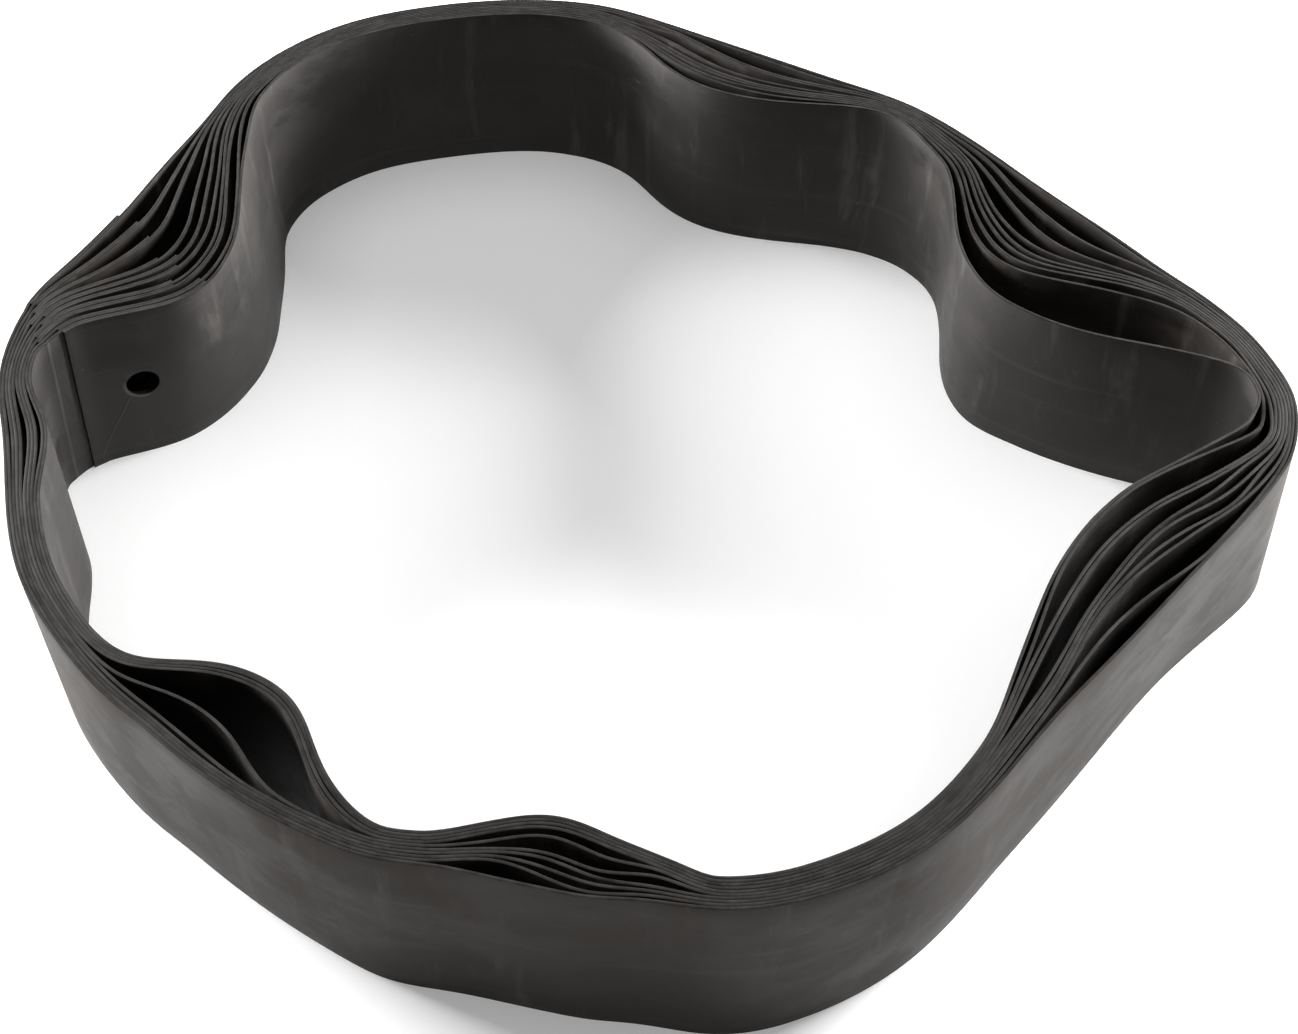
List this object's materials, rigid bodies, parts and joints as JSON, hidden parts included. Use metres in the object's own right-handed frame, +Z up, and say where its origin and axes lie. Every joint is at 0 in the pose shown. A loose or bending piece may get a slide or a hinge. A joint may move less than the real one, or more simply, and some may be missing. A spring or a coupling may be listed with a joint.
{
  "type": "nest of bicycle rim strips",
  "caption": "Nest of flat black rubber rim strips for bicycle wheels, standing on edge one inside the other, each a closed loop with a lapped, vulcanised joint and a valve hole.",
  "frame": {"origin": "centre of the footprint, on the surface the lower edges stand on", "axes": "+Z up along the strips' width; the valve holes are drilled along Y, at the +Y end of the -X side, and the stack of laps goes inwards towards -Y from there"},
  "size_m": [0.297, 0.3256, 0.05],
  "materials": {
    "rubber_01": "matt, dusty black",
    "rubber_02": "matt, dusty black",
    "rubber_03": "matt, dusty black",
    "rubber_04": "matt, dusty black",
    "rubber_05": "matt, dusty black",
    "rubber_06": "matt, dusty black",
    "rubber_07": "matt, dusty black",
    "rubber_08": "matt, dusty black",
    "rubber_09": "matt, dusty black",
    "rubber_10": "matt, dusty black"
  },
  "bodies": {
    "strip_01": {"rim_strip_01": "rubber_01"},
    "strip_02": {"rim_strip_02": "rubber_02"},
    "strip_03": {"rim_strip_03": "rubber_03"},
    "strip_04": {"rim_strip_04": "rubber_04"},
    "strip_05": {"rim_strip_05": "rubber_05"},
    "strip_06": {"rim_strip_06": "rubber_06"},
    "strip_07": {"rim_strip_07": "rubber_07"},
    "strip_08": {"rim_strip_08": "rubber_08"},
    "strip_09": {"rim_strip_09": "rubber_09"},
    "strip_10": {"rim_strip_10": "rubber_10"}
  },
  "joints": [
    {"name": "strip_02_lift", "type": "slide", "parent": "strip_01", "child": "strip_02", "axis": [0, 0, 1], "range_m": [0, 0.055]},
    {"name": "strip_03_lift", "type": "slide", "parent": "strip_01", "child": "strip_03", "axis": [0, 0, 1], "range_m": [0, 0.055]},
    {"name": "strip_04_lift", "type": "slide", "parent": "strip_01", "child": "strip_04", "axis": [0, 0, 1], "range_m": [0, 0.055]},
    {"name": "strip_05_lift", "type": "slide", "parent": "strip_01", "child": "strip_05", "axis": [0, 0, 1], "range_m": [0, 0.055]},
    {"name": "strip_06_lift", "type": "slide", "parent": "strip_01", "child": "strip_06", "axis": [0, 0, 1], "range_m": [0, 0.055]},
    {"name": "strip_07_lift", "type": "slide", "parent": "strip_01", "child": "strip_07", "axis": [0, 0, 1], "range_m": [0, 0.055]},
    {"name": "strip_08_lift", "type": "slide", "parent": "strip_01", "child": "strip_08", "axis": [0, 0, 1], "range_m": [0, 0.055]},
    {"name": "strip_09_lift", "type": "slide", "parent": "strip_01", "child": "strip_09", "axis": [0, 0, 1], "range_m": [0, 0.055]},
    {"name": "strip_10_lift", "type": "slide", "parent": "strip_01", "child": "strip_10", "axis": [0, 0, 1], "range_m": [0, 0.055]}
  ]
}
